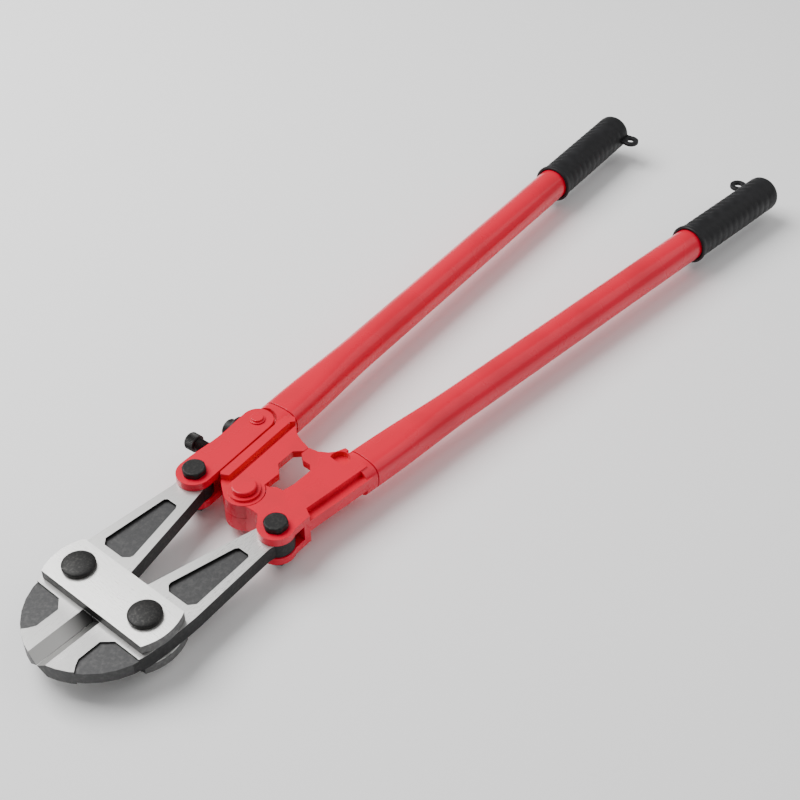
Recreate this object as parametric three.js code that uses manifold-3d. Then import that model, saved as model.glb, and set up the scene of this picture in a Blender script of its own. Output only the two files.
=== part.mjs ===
// Bolt cutters of the 30 inch class: two forged jaws between strap plates, worked by two tubular
// handles that meet at a half-lapped pivot, with an adjustable toggle link on the left handle.
// Millimetres. +X runs from the jaws to the grips, +Y to the left handle, +Z up. Every outline is drawn
// about the strap bolts or about the handle pivot, and the whole is set on its bounding box at the end.

import * as THREE from 'three';
import { mergeVertices } from 'three/addons/utils/BufferGeometryUtils.js';
import Module from 'manifold-3d';

// ---- driving dimensions -------------------------------------------------------------------------

const GAP = 0.3; // between pieces that touch
const SEGMENTS = 32; // facets on a round piece
const BIG = 500; // reach of a cut that runs out of the piece

// head
const BOLT_SPREAD = 64; // between the strap bolts
const NOSE_LENGTH = 64; // strap bolts to the tip of the jaws
const EDGE_LENGTH = 30; // cutting edge, back from the tip
const JAW_THICKNESS = 12;
const BEVEL_WIDTH = 8; // ground bevel on each side of the edge
const THROAT_GAP = 0.35; // jaw face to centre plane at the strap, behind the edge
const JAW_SHOULDER = 20; // metal outside the strap bolt
const STRAP_WIDTH = 36.7;
const STRAP_THICKNESS = 7.6;
const STRAP_OVERHANG = 16; // strap bolt to the corner of the strap
const STRAP_CROWN = 4.8; // rise of the strap's rounded end
const STRAP_BOLT_DIAMETER = 14;
const STRAP_HEAD_DIAMETER = 23;
const STRAP_HEAD_RIM = 2.4;
const STRAP_HEAD_DOME = 2;
const STRAP_NUT_FLATS = 21;
const STRAP_NUT_HEIGHT = 6.6;
const STRAP_WASHER_DIAMETER = 25;
const STRAP_WASHER_THICKNESS = 2.2;
const NOSE_POCKET_DEPTH = 1.5;
const ARM_POCKET_DEPTH = 2.5;

// linkage
const PIVOT_X = 120.1; // handle pivot, behind the strap bolts
const TAIL_AHEAD = 9.6; // tail bolts ahead of the handle pivot
const TAIL_ASIDE = 39.7; // tail bolts to the centre plane
const TAIL_BOLT_DIAMETER = 10;
const TAIL_HEAD_FLATS = 16.4;
const TAIL_HEAD_HEIGHT = 4.6;
const TAIL_NUT_HEIGHT = 6;
const TAIL_SLACK = 3; // radial room in the jaw's tail hole, where the linkage is open
const TAIL_EYE_RADIUS = 12.5;
const CHEEK_THICKNESS = 6.2;
const CHEEK_EYE_RADIUS = 13.3;

// handles
const SPLAY = THREE.MathUtils.degToRad(4.56); // each handle from the centre plane
const TUBE_OFFSET = 34.5; // tube axis to the handle pivot
const TUBE_DIAMETER = 28;
const TUBE_WALL = 2.2;
const TUBE_START = 82; // mouth of the tube, from the handle pivot
const TUBE_LENGTH = 500;
const FLAT_LENGTH = 105; // pressed oval stretch behind the mouth
const PRESS_SPREAD = 3; // the oval is wider than the tube by this
const PRESS_SQUASH = 3.6; // and lower by this
const FLAT_SQUARENESS = 3; // exponent of the oval, 2 is an ellipse
const MOUTH_SEAM = 0.9; // between a fitting's boss and the tube's mouth
const SPIGOT_LENGTH = 45;
const GRIP_LENGTH = 116.5;
const GRIP_WALL = 1.5;
const GRIP_LIP = 1.2; // rise of the mouth rim
const GRIP_END = 5; // rubber behind the tube
const EYELET_RADIUS = 7.5;
const EYELET_HOLE = 3.3;
const EYELET_THICKNESS = 3.2;
const EYELET_REACH = 8; // eyelet centre outside the tube
const EYELET_SET_BACK = 9; // eyelet centre to the grip's end

// fittings
const HUB_RADIUS = 14.7;
const PIVOT_PIN_DIAMETER = 12;
const PIVOT_HEAD_DIAMETER = 17.6;
const PIVOT_HEAD_HEIGHT = 3.7;
const PIVOT_BOSS_RADIUS = 11.6;
const PIVOT_BOSS_RISE = 2;
const PIVOT_WASHER_THICKNESS = 3;
const WEB_RISE = 7.2; // sunk faces of the webs, from the centre plane
const OUTER_WEB_DROP = 2.5; // underside of the right fitting's outer web
const SHELF_THICKNESS = 6; // of the stops and of the plate round the window
const STOP_Y = -4.6; // plane where the stops meet
const STOP_GAP = 0.4;
const GROOVE_INNER = 12.7; // groove of the left fitting, across from the pivot
const GROOVE_OUTER = 18.4;
const DENT_ALONG = 68.8; // half-moon dent of the right fitting
const DENT_RADIUS = 7.3;
const DENT_DEPTH = 4.5;

// toggle link and its screws, along the handle from the pivot
const TOGGLE_PIN_ALONG = 61;
const TOGGLE_PIN_ASIDE = 39.3;
const TOGGLE_PIN_DIAMETER = 7;
const TOGGLE_END_RADIUS = 11.9;
const TOGGLE_ROOM = 1.4; // clear of the fitting all round
const TOGGLE_REAR_ROOM = 1.4; // and this much more behind its rear end
const TOGGLE_WEB = 4.2; // thickness at the waist
const TOGGLE_WAIST_DIP = 0.9;
const LUG_START = 14;
const ADJUSTER_ALONG = 25;
const ADJUSTER_DIAMETER = 10;
const ADJUSTER_OUT = 15.9; // bare thread outside the web
const ADJUSTER_HEAD_DIAMETER = 13.4;
const ADJUSTER_HEAD_LENGTH = 8.6;
const LOCK_ALONG = 51.5;
const LOCK_DIAMETER = 8;
const LOCK_HEAD_DIAMETER = 18;
const LOCK_HEAD_LENGTH = 7;
const LOCK_WASHER_DIAMETER = 24;
const LOCK_WASHER_THICKNESS = 2;
const SOCKET_FLATS = 8;
const SOCKET_DEPTH = 5;

// ---- values that follow from them ---------------------------------------------------------------

const BOLT_Y = BOLT_SPREAD / 2;
const JAW_TOP = JAW_THICKNESS / 2;
const STRAP_LOW = JAW_TOP + GAP;
const STRAP_TOP = STRAP_LOW + STRAP_THICKNESS;
const CHEEK_LOW = JAW_TOP + GAP;
const BODY_TOP = CHEEK_LOW + CHEEK_THICKNESS;
const SHELF_LOW = BODY_TOP - SHELF_THICKNESS;
const TAIL_X = PIVOT_X - TAIL_AHEAD;
const HALF_FLAT = (TUBE_DIAMETER + PRESS_SPREAD) / 2;
const HALF_SQUASHED = (TUBE_DIAMETER - PRESS_SQUASH) / 2;
const RUN = 0.15; // radial room round a turning pin

// ---- solids -------------------------------------------------------------------------------------

const wasm = await Module();
wasm.setup();

// A closed three.js geometry as a solid for joining and cutting.
function solid(geometry) {
  const bare = geometry.clone();
  bare.deleteAttribute('normal');
  bare.deleteAttribute('uv');
  const merged = mergeVertices(bare, 1e-4);
  return new wasm.Manifold(new wasm.Mesh({
    numProp: 3,
    vertProperties: new Float32Array(merged.attributes.position.array),
    triVerts: new Uint32Array(merged.index.array),
  }));
}

function geometryOf(body) {
  const mesh = body.getMesh();
  const geometry = new THREE.BufferGeometry();
  geometry.setAttribute('position', new THREE.BufferAttribute(mesh.vertProperties, 3));
  geometry.setIndex(new THREE.BufferAttribute(mesh.triVerts, 1));
  geometry.computeVertexNormals();
  return geometry;
}

const join = (...bodies) => bodies.reduce((whole, body) => whole.add(body));

function shapeOf(points) {
  return new THREE.Shape(points.map(([x, y]) => new THREE.Vector2(x, y)));
}

// A flat outline, of points or a THREE.Shape, made solid between two heights.
function slab(outline, low, high) {
  const shape = outline instanceof THREE.Shape ? outline : shapeOf(outline);
  const geometry = new THREE.ExtrudeGeometry(shape, {
    depth: high - low,
    bevelEnabled: false,
    curveSegments: SEGMENTS / 4,
  });
  return solid(geometry.translate(0, 0, low));
}

// The same outline above and below the centre plane, between two distances from it.
function twin(outline, near, far) {
  return slab(outline, near, far).add(slab(outline, -far, -near));
}

// A round piece standing on Z at a point; its profile is radius and height from bottom to top.
function turned(x, y, profile) {
  const points = profile.map(([radius, height]) => new THREE.Vector2(radius, height));
  const geometry = new THREE.LatheGeometry(points, SEGMENTS);
  return solid(geometry.rotateX(Math.PI / 2).translate(x, y, 0));
}

function rod(x, y, radius, low, high) {
  return turned(x, y, [[0, low], [radius, low], [radius, high], [0, high]]);
}

// A hexagonal prism on Z, its corners softened by a round of the given radius.
function hexagon(x, y, flats, low, high, cornerRadius = flats) {
  const corners = Array.from({ length: 6 }, (_, i) => {
    const angle = (i + 0.5) * Math.PI / 3;
    const reach = flats / Math.sqrt(3);
    return [x + reach * Math.cos(angle), y + reach * Math.sin(angle)];
  });
  const prism = slab(corners, low, high);
  return prism.intersect(rod(x, y, cornerRadius, low - 1, high + 1));
}

const box = (x0, x1, y0, y1, z0, z1) => slab([[x0, y0], [x1, y0], [x1, y1], [x0, y1]], z0, z1);

// ---- finishes -----------------------------------------------------------------------------------

const finish = (color, roughness, metalness) =>
  () => new THREE.MeshStandardMaterial({ color, roughness, metalness });
const groundSteel = finish(0xc9c9c7, 0.38, 0.9);
const blackSteel = finish(0x2e2e2d, 0.5, 0.6);
const redPaint = finish(0xd0303f, 0.3, 0);
const blackRubber = finish(0x3a3a3b, 0.7, 0);

function piece(name, geometry, material) {
  const mesh = new THREE.Mesh(geometry, material());
  mesh.name = name;
  return mesh;
}

// ---- jaws ---------------------------------------------------------------------------------------

// The left jaw's outline: nose, shoulder, arm and tail eye outside, arm and throat inside.
function jawOutline(side) {
  const shoulder = BOLT_Y + JAW_SHOULDER;
  const shape = new THREE.Shape();
  shape.moveTo(-NOSE_LENGTH, side * GAP / 2);
  shape.bezierCurveTo(-NOSE_LENGTH, side * 18, -46, side * (shoulder - 4), -16, side * (shoulder - 1.2));
  shape.quadraticCurveTo(4, side * (shoulder + 0.4), 25, side * (shoulder - 0.2));
  shape.lineTo(TAIL_X - 14.5, side * (TAIL_ASIDE + 7));
  shape.lineTo(TAIL_X, side * (TAIL_ASIDE + TAIL_EYE_RADIUS - 3));
  shape.lineTo(TAIL_X, side * (TAIL_ASIDE - TAIL_EYE_RADIUS + 1));
  shape.lineTo(TAIL_X - 27.3, side * (TAIL_ASIDE - 18.1));
  shape.lineTo(24.8, side * (BOLT_Y - 23.4));
  shape.lineTo(-8, side * THROAT_GAP * 2);
  shape.lineTo(-STRAP_WIDTH / 2, side * THROAT_GAP);
  shape.lineTo(EDGE_LENGTH - NOSE_LENGTH, side * GAP / 2);
  return shape;
}

// The sunk panel of the nose runs out through the outer contour.
function nosePocket(side) {
  const out = BOLT_Y + JAW_SHOULDER + 10;
  const low = BOLT_Y - 11.7;
  return [
    [-22.2, side * out], [-22.4, side * (low + 7)], [-28.8, side * low], [-46.4, side * low],
    [-51.2, side * (low + 2.9)], [-NOSE_LENGTH, side * (low + 14)], [-NOSE_LENGTH, side * out],
  ];
}

// The long sunk panel of the arm, drawn between the strap and the tail.
function armPocket(side) {
  const end = TAIL_X - 26.5;
  const tail = TAIL_ASIDE - 39.7;
  const bolt = BOLT_Y - 32;
  return [
    [27.5, side * (bolt + 22.8)], [27.5, side * (bolt + 40.2)], [32, side * (bolt + 44.2)],
    [end - 1.6, side * (tail + 41)], [end, side * (tail + 39)], [end, side * (tail + 30.5)],
    [end - 2.4, side * (tail + 28.6)], [33.4, side * (bolt + 18)], [31, side * (bolt + 18.7)],
  ];
}

// A wedge along the nose that leaves the ground bevel on one face of a jaw.
function bevelWedge(side, up) {
  const rise = JAW_TOP + 1;
  const reach = BEVEL_WIDTH * rise / JAW_TOP;
  const wedge = new THREE.Shape([
    new THREE.Vector2(side * GAP / 2, 0), new THREE.Vector2(side * (reach + GAP / 2), up * rise),
    new THREE.Vector2(-side * reach, up * rise), new THREE.Vector2(-side * reach, 0),
  ]);
  const length = NOSE_LENGTH + 10 - STRAP_WIDTH / 2;
  const geometry = new THREE.ExtrudeGeometry(wedge, { depth: length, bevelEnabled: false });
  geometry.rotateX(Math.PI / 2).rotateZ(Math.PI / 2);
  return solid(geometry.translate(-NOSE_LENGTH - 10, 0, 0));
}

function jaw(name, side) {
  const tail = rod(TAIL_X, side * TAIL_ASIDE, TAIL_EYE_RADIUS, -JAW_TOP, JAW_TOP);
  const tailHole = TAIL_BOLT_DIAMETER / 2 + TAIL_SLACK;
  const body = slab(jawOutline(side), -JAW_TOP, JAW_TOP)
    .add(tail)
    .subtract(bevelWedge(side, 1))
    .subtract(bevelWedge(side, -1))
    .subtract(twin(nosePocket(side), JAW_TOP - NOSE_POCKET_DEPTH, JAW_TOP + 1))
    .subtract(twin(armPocket(side), JAW_TOP - ARM_POCKET_DEPTH, JAW_TOP + 1))
    .subtract(rod(0, side * BOLT_Y, STRAP_BOLT_DIAMETER / 2 + RUN, -BIG, BIG))
    .subtract(rod(TAIL_X, side * TAIL_ASIDE, tailHole, -BIG, BIG));
  return piece(name, geometryOf(body), groundSteel);
}

// ---- strap plates, their bolts and nuts ---------------------------------------------------------

function strap(name, low) {
  const half = STRAP_WIDTH / 2;
  const corner = BOLT_Y + STRAP_OVERHANG;
  const shape = new THREE.Shape();
  shape.moveTo(-half, -corner);
  shape.quadraticCurveTo(0, -corner - 2 * STRAP_CROWN, half, -corner);
  shape.lineTo(half, corner);
  shape.quadraticCurveTo(0, corner + 2 * STRAP_CROWN, -half, corner);
  const hole = STRAP_BOLT_DIAMETER / 2 + RUN;
  const body = slab(shape, low, low + STRAP_THICKNESS)
    .subtract(rod(0, BOLT_Y, hole, -BIG, BIG))
    .subtract(rod(0, -BOLT_Y, hole, -BIG, BIG));
  return piece(name, geometryOf(body), groundSteel);
}

function strapBolt(name, side) {
  const shank = STRAP_BOLT_DIAMETER / 2;
  const head = STRAP_HEAD_DIAMETER / 2;
  const seat = STRAP_TOP + GAP;
  const rim = seat + STRAP_HEAD_RIM;
  const stub = 0.8; // thread past the nut
  const foot = -(STRAP_TOP + STRAP_WASHER_THICKNESS + STRAP_NUT_HEIGHT + 2 * GAP + stub);
  const dome = Array.from({ length: 5 }, (_, i) => {
    const turn = i / 4 * Math.PI / 2;
    return [head * Math.cos(turn), rim + STRAP_HEAD_DOME * Math.sin(turn)];
  });
  dome[4][0] = 0;
  const body = turned(0, side * BOLT_Y, [[0, foot], [shank, foot], [shank, seat], [head, seat], ...dome]);
  return piece(name, geometryOf(body), blackSteel);
}

function strapWasher(name, side) {
  const top = -(STRAP_TOP + GAP);
  const y = side * BOLT_Y;
  const body = rod(0, y, STRAP_WASHER_DIAMETER / 2, top - STRAP_WASHER_THICKNESS, top)
    .subtract(rod(0, y, STRAP_BOLT_DIAMETER / 2 + GAP, -BIG, BIG));
  return piece(name, geometryOf(body), blackSteel);
}

function strapNut(name, side) {
  const top = -(STRAP_TOP + STRAP_WASHER_THICKNESS + 2 * GAP);
  const y = side * BOLT_Y;
  const body = hexagon(0, y, STRAP_NUT_FLATS, top - STRAP_NUT_HEIGHT, top)
    .subtract(rod(0, y, STRAP_BOLT_DIAMETER / 2 + GAP, -BIG, BIG));
  return piece(name, geometryOf(body), blackSteel);
}

// ---- handles ------------------------------------------------------------------------------------
// Each handle is drawn straight along X from its pivot, with side * Y outwards, in a group that is
// turned out by the splay.

// A point of the assembly, on the left half, as it lies in a handle's own frame.
function inHandle(x, y) {
  const point = new THREE.Vector2(x - PIVOT_X, y).rotateAround(new THREE.Vector2(), -SPLAY);
  return [point.x, point.y];
}

const [TAIL_U, TAIL_V] = inHandle(TAIL_X, TAIL_ASIDE);
const LEDGE_EDGE = Math.min(TAIL_V - CHEEK_EYE_RADIUS, TOGGLE_PIN_ASIDE - TOGGLE_END_RADIUS) - TOGGLE_ROOM;
const sided = (side, points) => points.map(([u, v]) => [u, side * v]);

// Half width or half height of the tube's section, a circle that is pressed to an oval at the mouth.
function sectionRadius(angle, press, inset) {
  const round = TUBE_DIAMETER / 2;
  const a = THREE.MathUtils.lerp(round, HALF_FLAT, press) - inset;
  const b = THREE.MathUtils.lerp(round, HALF_SQUASHED, press) - inset;
  const n = THREE.MathUtils.lerp(2, FLAT_SQUARENESS, press);
  const across = Math.abs(Math.cos(angle)) / a;
  const up = Math.abs(Math.sin(angle)) / b;
  return (across ** n + up ** n) ** (-1 / n);
}

// A bar along the tube's axis with the tube's section, smaller all round by the inset.
function tubeBar(side, start, end, steps, inset, pressAt) {
  const geometry = new THREE.CylinderGeometry(1, 1, end - start, SEGMENTS, steps);
  geometry.rotateZ(-Math.PI / 2).translate((start + end) / 2, 0, 0);
  const position = geometry.attributes.position;
  for (let i = 0; i < position.count; i += 1) {
    const y = position.getY(i);
    const z = position.getZ(i);
    const reach = Math.hypot(y, z);
    const radius = reach < 0.5 ? 0 : sectionRadius(Math.atan2(z, y), pressAt(position.getX(i)), inset);
    const scale = radius / Math.max(reach, 1e-6);
    position.setXYZ(i, position.getX(i), y * scale, z * scale);
  }
  return solid(geometry.translate(0, side * TUBE_OFFSET, 0));
}

const fullyPressed = () => 1;

function pressAlong(u) {
  const share = THREE.MathUtils.clamp((u - TUBE_START) / FLAT_LENGTH, 0, 1);
  return 1 - THREE.MathUtils.smootherstep(share, 0, 1);
}

// The rear of a fitting: a pressed-oval boss up to the tube's mouth and a spigot inside the tube.
function socket(side, start) {
  const spigotEnd = TUBE_START + SPIGOT_LENGTH;
  const boss = tubeBar(side, start, TUBE_START - MOUTH_SEAM, 1, 0, fullyPressed);
  const spigot = tubeBar(side, start, spigotEnd, 6, TUBE_WALL + 1.5 * GAP, pressAlong);
  return boss.add(spigot);
}

function handleTube(name, side) {
  const end = TUBE_START + TUBE_LENGTH;
  const pressed = TUBE_START + FLAT_LENGTH;
  const outer = tubeBar(side, TUBE_START, pressed, 8, 0, pressAlong)
    .add(tubeBar(side, pressed, end, 1, 0, () => 0));
  const inner = tubeBar(side, TUBE_START, pressed, 8, TUBE_WALL, pressAlong)
    .add(tubeBar(side, pressed, end, 1, TUBE_WALL, () => 0))
    .add(tubeBar(side, TUBE_START - 5, TUBE_START, 1, TUBE_WALL, fullyPressed))
    .add(tubeBar(side, end, end + 5, 1, TUBE_WALL, () => 0));
  return piece(name, geometryOf(outer.subtract(inner)), redPaint);
}

function grip(name, side) {
  const tubeEnd = TUBE_START + TUBE_LENGTH;
  const end = tubeEnd + GAP + GRIP_END;
  const start = end - GRIP_LENGTH;
  const bore = TUBE_DIAMETER / 2 + GAP;
  const radius = bore + GRIP_WALL;
  const profile = [
    [bore, start], [radius + GRIP_LIP, start], [radius + GRIP_LIP, start + 3], [radius, start + 6],
    [radius, end - 3], [radius - 0.9, end - 0.9], [radius - 3, end], [0, end],
    [0, tubeEnd + GAP], [bore, tubeEnd + GAP],
  ].map(([r, u]) => new THREE.Vector2(r, u));
  profile.push(profile[0].clone());
  const sleeve = solid(new THREE.LatheGeometry(profile, SEGMENTS)
    .rotateZ(-Math.PI / 2).translate(0, side * TUBE_OFFSET, 0));
  const u = end - EYELET_SET_BACK;
  const v = TUBE_OFFSET - TUBE_DIAMETER / 2 - EYELET_REACH;
  const half = EYELET_THICKNESS / 2;
  const root = sided(side, [
    [u - EYELET_RADIUS, v], [u + EYELET_RADIUS, v],
    [u + EYELET_RADIUS, TUBE_OFFSET - bore - 0.6], [u - EYELET_RADIUS, TUBE_OFFSET - bore - 0.6],
  ]);
  const body = join(sleeve, slab(root, -half, half), rod(u, side * v, EYELET_RADIUS, -half, half))
    .subtract(rod(u, side * v, EYELET_HOLE, -BIG, BIG));
  return piece(name, geometryOf(body), blackRubber);
}

// ---- left fitting -------------------------------------------------------------------------------

// The toggle link's plate, grown all round by the given room and moved back at its rear end.
function toggleOutline(room, rearRoom) {
  const shape = new THREE.Shape();
  const front = CHEEK_EYE_RADIUS + room;
  const rear = TOGGLE_END_RADIUS + room;
  const rearCentre = TOGGLE_PIN_ALONG + rearRoom;
  const waist = TOGGLE_PIN_ASIDE + rear - TOGGLE_WAIST_DIP;
  shape.moveTo(TAIL_U, TAIL_V + front);
  shape.absarc(TAIL_U, TAIL_V, front, Math.PI / 2, 3 * Math.PI / 2, false);
  shape.lineTo(rearCentre, TOGGLE_PIN_ASIDE - rear);
  shape.absarc(rearCentre, TOGGLE_PIN_ASIDE, rear, -Math.PI / 2, Math.PI / 2, false);
  shape.bezierCurveTo(
    TOGGLE_PIN_ALONG - 14, TOGGLE_PIN_ASIDE + rear,
    ADJUSTER_ALONG + 22, waist, ADJUSTER_ALONG + 12, waist,
  );
  shape.bezierCurveTo(
    ADJUSTER_ALONG - 6, waist,
    TAIL_U + 16, TAIL_V + front, TAIL_U, TAIL_V + front,
  );
  return shape;
}

const TOGGLE_WAIST = TOGGLE_PIN_ASIDE + TOGGLE_END_RADIUS - TOGGLE_WAIST_DIP;
const TOGGLE_WEB_INNER = TOGGLE_WAIST - TOGGLE_WEB;
const LUG_EDGE = TOGGLE_WEB_INNER - 1;

// Plate from the hub to the window's edge, with the stop at its rear end.
function leftShelf() {
  const stop = (along) => inHandle(PIVOT_X + along, STOP_Y + STOP_GAP / 2);
  const neckEnd = TUBE_OFFSET - HALF_FLAT;
  return [
    [-4, GROOVE_INNER], [-HUB_RADIUS + 2.5, 2], [0, -5], [11.3, -7.6], [27.3, -8.9], [34.2, -2.2],
    [50.2, -2.7], stop(55.5), stop(60.4), [61.9, -2.8], [64.4, 3.4], [67.8, 8.2], [72.1, 12.4],
    [TUBE_START - 3, neckEnd - 0.6], [TUBE_START - 3, neckEnd + 3], [60, neckEnd + 3], [60, GROOVE_INNER],
  ];
}

function leftFitting() {
  const neck = [[-HUB_RADIUS + 2.5, 6], [-4.9, 16.4], [0.4, 22.4], [4.4, LEDGE_EDGE]];
  const rear = TUBE_START - 6;
  const hub = rod(0, 0, HUB_RADIUS, GAP / 2, BODY_TOP)
    .add(rod(0, 0, PIVOT_BOSS_RADIUS, GAP / 2, BODY_TOP + PIVOT_BOSS_RISE));
  const behindLink = socket(1, TOGGLE_PIN_ALONG - 2).subtract(box(0, rear, -BIG, LEDGE_EDGE - 2, -BIG, BIG));
  const neckPlate = slab([...neck, [10, GROOVE_OUTER], [16, 0], [0, -6]], GAP / 2, BODY_TOP);
  const ledge = slab([[5, GROOVE_OUTER], neck[3], [rear, LEDGE_EDGE], [rear, GROOVE_OUTER]], -BODY_TOP, BODY_TOP);
  const web = slab([
    neck[1], neck[2], neck[3], [rear, LEDGE_EDGE], [rear, 17.5], [66, 8.5], [2, 8],
  ], -WEB_RISE, WEB_RISE);
  const rib = slab([[2, 7], [-4, GROOVE_INNER], [71, GROOVE_INNER], [66, 8]], -WEB_RISE, BODY_TOP);
  const shelf = slab(leftShelf(), SHELF_LOW, BODY_TOP);
  const lug = slab([
    [LUG_START, LEDGE_EDGE - 2], [LUG_START, LUG_EDGE - 3], [LUG_START + 3, LUG_EDGE],
    [rear, LUG_EDGE], [rear, LEDGE_EDGE - 2],
  ], -JAW_TOP, JAW_TOP);
  const groove = twin([
    [-10, GROOVE_INNER], [rear - 3, GROOVE_INNER], [rear, (GROOVE_INNER + GROOVE_OUTER) / 2],
    [rear - 3, GROOVE_OUTER], [5, GROOVE_OUTER], [2, LEDGE_EDGE], [-10, LEDGE_EDGE],
  ], WEB_RISE, BODY_TOP + 1);
  const roomy = toggleOutline(TOGGLE_ROOM, TOGGLE_REAR_ROOM);
  const recess = twin(roomy, JAW_TOP, BIG)
    .add(box(ADJUSTER_ALONG, BIG, LUG_EDGE, BIG, -BIG, BIG).intersect(slab(roomy, -BIG, BIG)));
  const lapRoom = rod(0, 0, HUB_RADIUS + 2 * GAP, -BIG, GAP / 2);
  const lockHole = alongV(LOCK_ALONG, LOCK_DIAMETER / 2 + GAP, LUG_EDGE - 16, BIG)
    .add(alongV(LOCK_ALONG, LOCK_WASHER_DIAMETER / 2 + GAP, TOGGLE_WAIST + GAP / 2, BIG));
  const body = join(hub, neckPlate, shelf, rib, ledge, web)
    .subtract(groove)
    .add(lug)
    .add(behindLink)
    .subtract(recess)
    .subtract(lapRoom)
    .subtract(rod(0, 0, PIVOT_PIN_DIAMETER / 2 + RUN, -BIG, BIG))
    .subtract(rod(TOGGLE_PIN_ALONG, TOGGLE_PIN_ASIDE, TOGGLE_PIN_DIAMETER / 2 + RUN, -BIG, BIG))
    .subtract(lockHole);
  return piece('fitting_left', geometryOf(body), redPaint);
}

// A round bar that points outwards across the handle, between two distances from the pivot.
function alongV(u, radius, near, far) {
  const geometry = new THREE.CylinderGeometry(radius, radius, far - near, SEGMENTS);
  return solid(geometry.translate(u, (near + far) / 2, 0));
}

// ---- right fitting ------------------------------------------------------------------------------

function rightFitting() {
  const side = -1;
  const stop = (along) => inHandle(PIVOT_X + along, -STOP_Y + STOP_GAP / 2);
  const outer = TUBE_OFFSET + HALF_FLAT - 0.2;
  const wall = TAIL_V + 2.4; // foot of the step down to the outer web
  const stepStart = 16;
  const stepEnd = TUBE_START - 14;
  const inner = TUBE_OFFSET - HALF_FLAT;
  const plate = slab(sided(side, [
    [-HUB_RADIUS + 4.7, 10], [-8.6, 14.5], [-7.9, 23.1], [TAIL_U - 9.2, TAIL_V - 8.9],
    [TAIL_U, TAIL_V + CHEEK_EYE_RADIUS - 0.3], [TAIL_U + 6, TAIL_V + CHEEK_EYE_RADIUS - 1.9],
    [stepStart - 2, outer], [stepStart, outer], [stepStart + 3, wall], [stepEnd, wall],
    [TUBE_START - 5, wall], [TUBE_START - 5, inner + 3.5], [66, inner - 1], [45.8, 17.8], [28.2, 19.6], [19, 18.7], [18.1, 13.2], [14.6, 9.5], [12, 0], [0, -4],
  ]), -BODY_TOP, BODY_TOP);
  const eye = rod(TAIL_U, side * TAIL_V, CHEEK_EYE_RADIUS, -BODY_TOP, BODY_TOP);
  const hub = rod(0, 0, HUB_RADIUS, -BODY_TOP, -GAP / 2);
  const web = slab(sided(side, [
    [stepStart - 1, wall - 4], [stepStart - 1, outer], [stepEnd + 8, outer], [stepEnd + 8, wall - 4],
  ]), -OUTER_WEB_DROP, WEB_RISE);
  const stopLug = slab(sided(side, [
    [45, 20], [45.8, 17.8], [49.4, 13.1], [48.9, 6.7], stop(52.6), stop(60.4), [62.6, 7.3],
    [67.1, 13.3], [71.3, 16.3], [TUBE_START - 3, inner - 0.4], [TUBE_START - 3, inner + 3],
  ]), SHELF_LOW, BODY_TOP);
  const reach = TAIL_EYE_RADIUS + TAIL_SLACK + 1;
  const slot = join(
    rod(TAIL_U, side * TAIL_V, reach, -CHEEK_LOW, CHEEK_LOW),
    slab(sided(side, [
      [-60, TAIL_V - reach + 2], [TAIL_U, TAIL_V - reach], [TAIL_U, TAIL_V], [TAIL_U + reach, TAIL_V],
      [TAIL_U + reach, BIG], [-60, BIG],
    ]), -CHEEK_LOW, CHEEK_LOW),
  );
  const lapRoom = rod(0, 0, HUB_RADIUS + 2 * GAP, -GAP / 2, BIG);
  const dent = rod(DENT_ALONG, side * (inner + DENT_RADIUS - 2.5), DENT_RADIUS, BODY_TOP - DENT_DEPTH, BIG)
    .subtract(box(0, DENT_ALONG - DENT_RADIUS / 2, -BIG, BIG, -BIG, BIG));
  const body = join(plate, eye, web, stopLug, socket(side, stepEnd + 3))
    .subtract(lapRoom)
    .add(hub)
    .subtract(slot)
    .subtract(dent)
    .subtract(rod(0, 0, PIVOT_PIN_DIAMETER / 2 + RUN, -BIG, BIG))
    .subtract(rod(TAIL_U, side * TAIL_V, TAIL_BOLT_DIAMETER / 2 + RUN, -BIG, BIG));
  return piece('fitting_right', geometryOf(body), redPaint);
}

// ---- handle pivot -------------------------------------------------------------------------------

function pivotPin() {
  const shank = PIVOT_PIN_DIAMETER / 2;
  const head = PIVOT_HEAD_DIAMETER / 2;
  const seat = BODY_TOP + PIVOT_BOSS_RISE + GAP;
  const top = seat + PIVOT_HEAD_HEIGHT;
  const foot = -(BODY_TOP + PIVOT_WASHER_THICKNESS + 2 * GAP);
  const rivet = 2; // headed over below the washer
  const body = turned(PIVOT_X, 0, [
    [0, foot - rivet], [shank + 0.6, foot - rivet], [shank + 1.6, foot - rivet / 2], [shank + 1.6, foot],
    [shank, foot], [shank, seat], [head, seat], [head, top - 1.2], [head - 1.2, top], [0, top],
  ]);
  return piece('pivot_pin', geometryOf(body), redPaint);
}

function pivotWasher() {
  const top = -(BODY_TOP + GAP);
  const body = rod(PIVOT_X, 0, PIVOT_HEAD_DIAMETER / 2 + 1.5, top - PIVOT_WASHER_THICKNESS, top)
    .subtract(rod(PIVOT_X, 0, PIVOT_PIN_DIAMETER / 2 + RUN, -BIG, BIG));
  return piece('pivot_washer', geometryOf(body), redPaint);
}

// ---- tail bolts ---------------------------------------------------------------------------------

function tailBolt(name, side) {
  const seat = BODY_TOP + GAP;
  const head = hexagon(TAIL_U, side * TAIL_V, TAIL_HEAD_FLATS, seat, seat + TAIL_HEAD_HEIGHT, TAIL_HEAD_FLATS * 0.545);
  const foot = -(BODY_TOP + TAIL_NUT_HEIGHT + GAP + 0.8);
  const body = head.add(rod(TAIL_U, side * TAIL_V, TAIL_BOLT_DIAMETER / 2, foot, seat + 1));
  return piece(name, geometryOf(body), blackSteel);
}

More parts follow.
